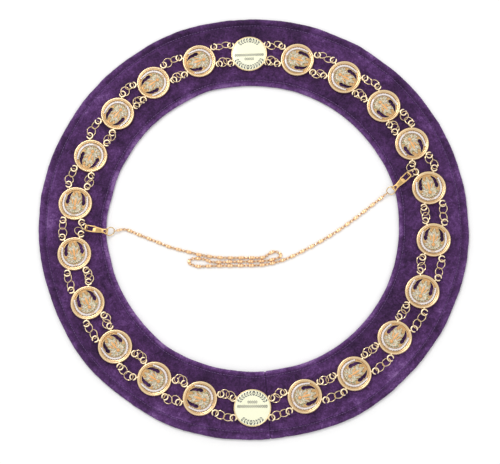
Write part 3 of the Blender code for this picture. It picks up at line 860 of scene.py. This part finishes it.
def add_frieze(shape, up):
    """Two rows of lozenges across a plate, with a pair of dots between neighbours."""
    wide, tall, pitch = 0.66, 1.3, 1.85  # a lozenge's half width and half height, and their spacing
    for row, count in ((5.2, 5), (1.3, 15)):
        for k in range(count):
            x = pitch * (k - (count - 1) / 2)
            lozenge = [(x, row - tall), (x + wide, row), (x, row + tall), (x - wide, row)]
            path = [(*corner, ENGRAVING_HIGH + 0.06) for corner in lozenge]
            shape.add(tube(path, 0.27, 5, True), INK, up)
            for step in (-0.75, 0.75) if k else ():
                dot = Matrix.Translation((x - 0.92, row + step, ENGRAVING_HIGH + 0.07))
                shape.add(dome(0.26, 0.14, 8), INK, up @ dot)


def plate_mesh(materials):
    """A plate. Its loops lie along Y, and the top of its engraving is turned to the collar's centre."""
    shape = Shape()
    edge = [(15.9, 5.0), (15.95, 7.9), (16.15, 8.12), (16.45, 8.2), (16.8, 8.05), (17.0, 7.6), (17.0, 6.6)]
    edge += [(16.6, 5.4), (16.0, 4.6), (15.5, 4.3)]
    shape.add(lathe(edge, 80, True), EDGE)
    face = [(15.6, 4.35), (16.1, 4.7), (16.1, 7.75), (15.8, 7.92), (14.5, 8.0), (10.0, 8.08)]
    face += [(5.0, 8.12), (0.6, 8.14)]
    shape.add(lathe(face, 80), CREAM)
    up = turned(90)
    add_sprays(shape, up)
    add_frieze(shape, up)
    add_loops(shape, PLATE_LOOPS)
    return shape.mesh("plate_cast", materials, 45)


def build_discs(medallion, plate):
    plates, numbers = iter(("back_plate", "front_plate")), itertools.count(1)
    for azimuth, radius, top in STATIONS:
        name = f"medallion_{next(numbers):02d}" if top else next(plates)
        matrix = Matrix.Translation(spoke(azimuth, radius)) @ turned(azimuth + 180 * (top < 0))
        mesh, slot = (medallion, "gilt") if top else (plate, "cream_enamel")
        piece(f"cast_{name}", mesh, slot, [name], matrix=matrix)


# --- links


def loop_centre(station, along, across):
    """A disc's loop: along is 1 for one nearer the next station, and across is 1 for an outer one."""
    azimuth, radius = STATIONS[station % len(STATIONS)][:2]
    out = spoke(azimuth)
    return (radius + across * LOOP_ACROSS) * out + along * LOOP_ALONG * UP.cross(out) + LOOP_Z * UP


def link_ring(loop, towards, outwards, swing, reach, lean):
    """Centre and normal of a ring that hangs on a loop, swung outwards and leaning over."""
    turn, tilt = math.radians(swing), math.radians(lean)
    line = math.cos(turn) * towards + math.sin(turn) * outwards
    beside = -math.sin(turn) * towards + math.cos(turn) * outwards
    centre = loop + reach * line + (RING_LIFT + 0.1 * (reach - RING_REACH)) * UP
    return centre, math.sin(tilt) * beside + math.cos(tilt) * UP


def apart(ring, other):
    """The least distance between the middle lines of two rings."""
    one, two = (np.array(arc(*r, RING_R, steps=48)) for r in (ring, other))
    return float(np.linalg.norm(one[:, None] - two[None], axis=2).min())


def strand_rings(gap, across, first_swing, second_swing):
    """Centre and normal of the two rings in the outer strand (across 1) or the inner one (-1)."""
    start, end = loop_centre(gap, 1, across), loop_centre(gap + 1, -1, across)
    along = (end - start).normalized()
    outwards = along.cross(UP)
    if across < 0 and gap in HOOKED:
        reach, lift, first_lean, second_lean = HOOKED[gap]
        centre, normal = link_ring(start, along, outwards, first_swing, reach, first_lean)
        first = centre + lift * UP, normal
        return first, link_ring(end, -along, outwards, second_swing, RING_REACH, second_lean)
    reach = RING_REACH
    while True:
        lean = RING_LEAN + 3.0 * (reach - RING_REACH)
        first = link_ring(start, along, outwards, first_swing, reach, lean)
        choices = [link_ring(end, -along, outwards, second_swing, reach, turn) for turn in (lean, -lean)]
        if (choices[0][0] - first[0]).length <= RING_SPREAD or reach > MOST_REACH:
            return first, max(choices, key=lambda ring: apart(first, ring))
        reach += 0.05


def build_links(material):
    for gap in range(len(STATIONS)):
        swings = LINK_SWINGS[gap]
        shape = Shape()
        for centre, normal in strand_rings(gap, 1, *swings[:2]) + strand_rings(gap, -1, *swings[2:]):
            shape.add(torus(centre, normal, RING_R, RING_WIRE_R, 36, 8))
            # The butted joint where the ring was closed.
            joint = arc(centre, normal, RING_R, random.uniform(0, 360), 6, 2)
            shape.add(tube(joint, RING_WIRE_R + 0.05, 8, up=normal))
        name = f"links_{gap + 1:02d}"
        piece(f"rings_{gap + 1:02d}", shape.mesh(name, [material]), "gilt", [name])


# --- hooks


def hook_body_mesh(side, metal, stippled):
    """The flat hook and its eye, with a stippled panel, a swivel collar and the cheeks of the gate's pin."""
    shape = Shape()
    eye = slab(rounded_corners(HOOK_EYE, 0.5), -2, 2)
    flat = slab(rounded_corners(HOOK_OUTLINE, 0.7), -HOOK_HALF, HOOK_HALF, 0.16)
    shape.add(cut(flat, [eye]), 0)
    panel = rounded_corners(((10.6, -1.9), (16.0, -1.2), (16.0, 1.2), (10.6, 1.8)), 0.6)
    shape.add(slab(panel, -0.6, 0.6, 0.1), 1)
    swivel = torus((17.15, 0, 0), Vector((1, 0, 0)), 1.0, 0.42, 20, 8)
    shape.add(swivel, 0, Matrix.Diagonal((1, 1.75, 0.45, 1)))
    cheek = rounded_corners(((8.0, 2.05), (10.7, 1.8), (10.7, 2.75), (8.7, 3.3), (8.0, 3.3)), 0.45)
    for face in (1, -1):
        mirror = Matrix.Diagonal((1, 1, face, 1))
        shape.add(slab(cheek, 0.43, CHEEK_HIGH, 0.06), 0, mirror)
        shape.add(dome(0.34, 0.18, 12, 0.1), 0, mirror @ Matrix.Translation((*GATE_PIVOT, CHEEK_HIGH)))
    return shape.mesh(f"{side}_hook", [metal, stippled], 40)


def gate_mesh(side, metal):
    """The gate's lever, drawn from its pivot, with three ridges for the thumb at its tip."""
    shape = Shape()
    outline = rounded_corners([Vector(point) - Vector(GATE_PIVOT) for point in GATE_OUTLINE], 0.35)
    shape.add(slab(outline, -GATE_HALF, GATE_HALF, 0.12), 0)
    for k in range(3):
        x, y = -6.4 + 0.42 * k, 0.36
        shape.add(tube([(x, y, -0.36), (x, y, 0.36)], 0.16, 6, up=Vector((0, 1, 0))), 0)
    return shape.mesh(f"{side}_lever", [metal], 40)


def build_hooks(metal, stippled):
    for side, nose, azimuth, fall, face in HOOKS:
        matrix = Matrix.Translation(nose) @ turned(azimuth) @ turned(fall, "Y")
        if face < 0:
            matrix = matrix @ turned(180, "X")
        body = hook_body_mesh(side, metal, stippled)
        piece(f"{side}_snap_hook", body, "gilt", [f"{side}_hook_body"], matrix=matrix)
        gate = f"{side}_hook_gate"
        place = matrix @ Matrix.Translation((*GATE_PIVOT, 0))
        piece(f"{side}_gate_lever", gate_mesh(side, metal), "gilt", [gate], gate, place)


def jump_ring_normal(azimuth, fall, roll):
    return turned(azimuth) @ turned(fall, "Y") @ turned(roll, "X") @ UP


def build_jump_rings(material):
    for side, centre, azimuth, fall, roll in JUMP_RINGS:
        shape = Shape()
        normal = jump_ring_normal(azimuth, fall, roll)
        shape.add(torus(centre, normal, JUMP_RING_R, JUMP_RING_WIRE_R, 48, 10))
        piece(f"{side}_ring", shape.mesh(f"{side}_ring", [material]), "gilt", [f"{side}_jump_ring"])


# --- fine chain


def chain_line():
    """Closely spaced points along the fine chain's smooth middle line."""
    points = [Vector((x, y, CHAIN_Z)) for x, y in CHAIN_ROUTE]
    ends = [2 * points[0] - points[1], *points, 2 * points[-1] - points[-2]]
    fine = np.array([*smoothly(ends, 24), points[-1]])
    travelled = np.concatenate([[0], np.cumsum(np.linalg.norm(np.diff(fine, axis=0), axis=1))])
    near_end = np.clip(1 - np.minimum(travelled, travelled[-1] - travelled) / CHAIN_RISE_RUN, 0, None)
    fine[:, 2] += CHAIN_RISE * near_end**2
    return fine, travelled


def bead_profile(start, length, radius, squareness, ends, count):
    """Marks in a pitch of the chain, with a bead's radius at each. It swells quickly at both ends."""
    shares = np.linspace(ends, 1 - ends, count)
    return [(start + length * t, radius * (1 - abs(2 * t - 1) ** squareness) + 0.1) for t in shares]


def build_fine_chain(metal, bright, shaded_metal):
    """Faceted barrels and small drums in turn, on a line of fine wire links."""
    fine, travelled = chain_line()
    length = travelled[-1]
    count = round(length / CHAIN_PITCH)
    pitch = length / count

    def at(distance):
        return Vector([float(np.interp(distance, travelled, fine[:, axis])) for axis in range(3)])

    def marked(k, mark):
        """How far along the chain a mark of its pitch k is."""
        return k * pitch + mark * pitch / CHAIN_PITCH

    shape = Shape()
    barrel = bead_profile(0.4, 5.8, 1.42, 14, 0.005, 19)
    drum = bead_profile(7.0, 2.1, 1.3, 7, 0.02, 9)
    for k in range(count):
        # The drums take the lighter painted-highlight copy of the gilding.
        beads = ((barrel, 5, 0, 170, k == 0), (drum, 6, 1, 0, k == count - 1))
        for profile, sides, slot, twist, at_end in beads:
            slimming = 0.8 if at_end else 1.0
            path = [at(marked(k, mark)) for mark, radius in profile]
            radii = [slimming * radius for mark, radius in profile]
            roll = random.uniform(0, 72)
            shape.add(tube(path, radii, sides, thin=0.88, twist=twist, roll=roll), slot)
        # The wire links between the beads: mark, whether the link stands on edge, and its material, 1 for
        # the lighter painted-highlight copy and 2 for the darker painted-shade copy
        for mark, on_edge, slot in ((6.35, True, 2), (6.8, False, 1), (9.35, True, 1), (9.85, False, 2)):
            place = marked(k, mark)
            run = (at(place + 0.3) - at(place - 0.3)).normalized()
            normal = run.cross(UP).normalized() if on_edge else UP
            shape.add(torus(at(place), normal, WIRE_LINK_R, CORE_R, 12, 6), slot)
    # The wire takes the darker painted-shade copy.
    core = [at(length * k / (6 * count)) for k in range(6 * count + 1)]
    shape.add(tube(core, CORE_R, 6), 2)
    # The link at each end, long enough to reach round the jump ring's wire, in the painted-highlight copy
    for (_, centre, azimuth, fall, roll), end in zip(JUMP_RINGS, (at(0), at(length))):
        wire = arc(centre, jump_ring_normal(azimuth, fall, roll), JUMP_RING_R, steps=120)
        nearest = min(wire, key=lambda point: (point - end).length)
        line = (nearest - end).normalized()
        reach = (nearest - end).length / 2 + 0.85
        shape.add(torus((nearest + end) / 2, line.cross(UP).normalized(), reach, 0.3, 20, 8), 1)
    mesh = shape.mesh("faceted_fine_chain", [metal, bright, shaded_metal], 25)
    piece("faceted_fine_chain", mesh, "rose_gilt", ["fine_chain"])


# --- stage and main


def build_floor():
    """The floor under a white sky."""
    world = bpy.data.worlds.new("studio")
    bpy.context.scene.world = world
    world.use_nodes = True
    background = world.node_tree.nodes["Background"].inputs
    background["Color"].default_value = (1.0, 1.0, 1.0, 1.0)
    background["Strength"].default_value = 0.80
    mesh = bpy.data.meshes.new("floor")
    mesh.from_pydata([(-4, -4, 0), (4, -4, 0), (4, 4, 0), (-4, 4, 0)], [], [(0, 1, 2, 3)])
    mesh.materials.append(floor_material())
    floor = placed("floor", mesh)


def build_lights():
    # Name, place and width in metres, and power in watts
    lights = (
        ("key", (-0.55, 0.75, 1.5), 0.6, 8.0),
        ("fill", (0.9, -0.35, 1.3), 0.9, 2.5),
        ("top", (0.1, 0.2, 1.9), 1.2, 2.0),
    )
    for name, place, width, power in lights:
        light = bpy.data.lights.new(name, "AREA")
        light.shape, light.size, light.energy = "SQUARE", width, power
        lamp = placed(name, light)
        lamp.location = place
        lamp.rotation_euler = Vector(place).to_track_quat("Z", "Y").to_euler()


def build_camera():
    camera = bpy.data.cameras.new("camera")
    camera.lens, camera.sensor_width = CAMERA_LENS, SENSOR_WIDTH
    camera.clip_start, camera.clip_end = 0.05, 20.0
    view = Matrix.Translation(VIEW_OFFSET)
    for angle, axis in VIEW_TURNS:
        view = view @ turned(angle, axis)
    eye = placed("camera", camera)
    eye.matrix_world = view.inverted()
    bpy.context.scene.camera = eye
    bpy.context.scene.view_settings.view_transform = "Standard"


def main():
    build_floor()
    build_lights()
    build_camera()
    rim = gold("rim_gold", (0.87, 0.65, 0.385), (0.36, 0.20, 0.08), 0.22, 0.6)
    ring_gold = gold("link_gold", (0.98, 0.77, 0.46), (0.50, 0.30, 0.12), 0.25, 0.25)
    # Painted highlight: the loops, cast with the rims and edges, take a paler and lighter copy of the
    # gilding.
    highlit_loop_gold = gold("highlit_loop_gold", (1.0, 0.83, 0.56), (0.50, 0.30, 0.12), 0.3, 0.5, 0.8)
    # Stippled matt gilding, painted darker and browner than the rim as painted shade in the sunken field,
    # and darkest in its crevices.
    field = gold("field_gold", (0.62, 0.38, 0.17), (0.13, 0.055, 0.02), 0.42, 1.0, 2.0, 0.18)
    pale_edge = gold("edge_gold", (0.86, 0.67, 0.39), (0.42, 0.24, 0.09), 0.24, 0.7)
    clasp = gold("clasp_gold", (0.74, 0.49, 0.21), (0.30, 0.14, 0.05), 0.43, 0.8)
    clasp_stipple = gold("clasp_stipple", (0.60, 0.41, 0.18), (0.30, 0.15, 0.05), 0.6, 0.6, 0.8, 0.15)
    jump_gold = gold("jump_ring_gold", (0.84, 0.60, 0.28), (0.40, 0.21, 0.07), 0.27, 0.5)
    # Painted highlight and shade: the fine chain's gilding comes in its own colour, a lighter copy for the
    # drums and some links, and a darker copy for the wire and the other links.
    rose = gold("rose_gold", (0.97, 0.64, 0.36), (0.60, 0.30, 0.12), 0.24, 0.3)
    rose_highlit = gold("rose_gold_highlit", (0.97, 0.70, 0.44), (0.60, 0.32, 0.14), 0.18, 0.3)
    rose_shaded = gold("rose_gold_shaded", (0.72, 0.34, 0.15), (0.36, 0.13, 0.05), 0.24, 0.5)
    white = enamel("white_enamel", (0.82, 0.76, 0.73), (0.70, 0.63, 0.63))
    orange = enamel("orange_enamel", (0.86, 0.38, 0.10), (0.92, 0.52, 0.20), 0.35)
    cream = enamel("cream_enamel", (0.90, 0.90, 0.66), (0.86, 0.86, 0.62))
    thread = thread_material()
    build_velvet()
    build_stitches("outer_stitching", OUTER_STITCH_R, thread)
    build_stitches("inner_stitching", INNER_STITCH_R, thread)
    build_discs(
        medallion_mesh([rim, field, white, glitter_material(), orange, highlit_loop_gold]),
        plate_mesh([pale_edge, cream, ink_material(), highlit_loop_gold]),
    )
    build_links(ring_gold)
    build_hooks(clasp, clasp_stipple)
    build_jump_rings(jump_gold)
    build_fine_chain(rose, rose_highlit, rose_shaded)


main()
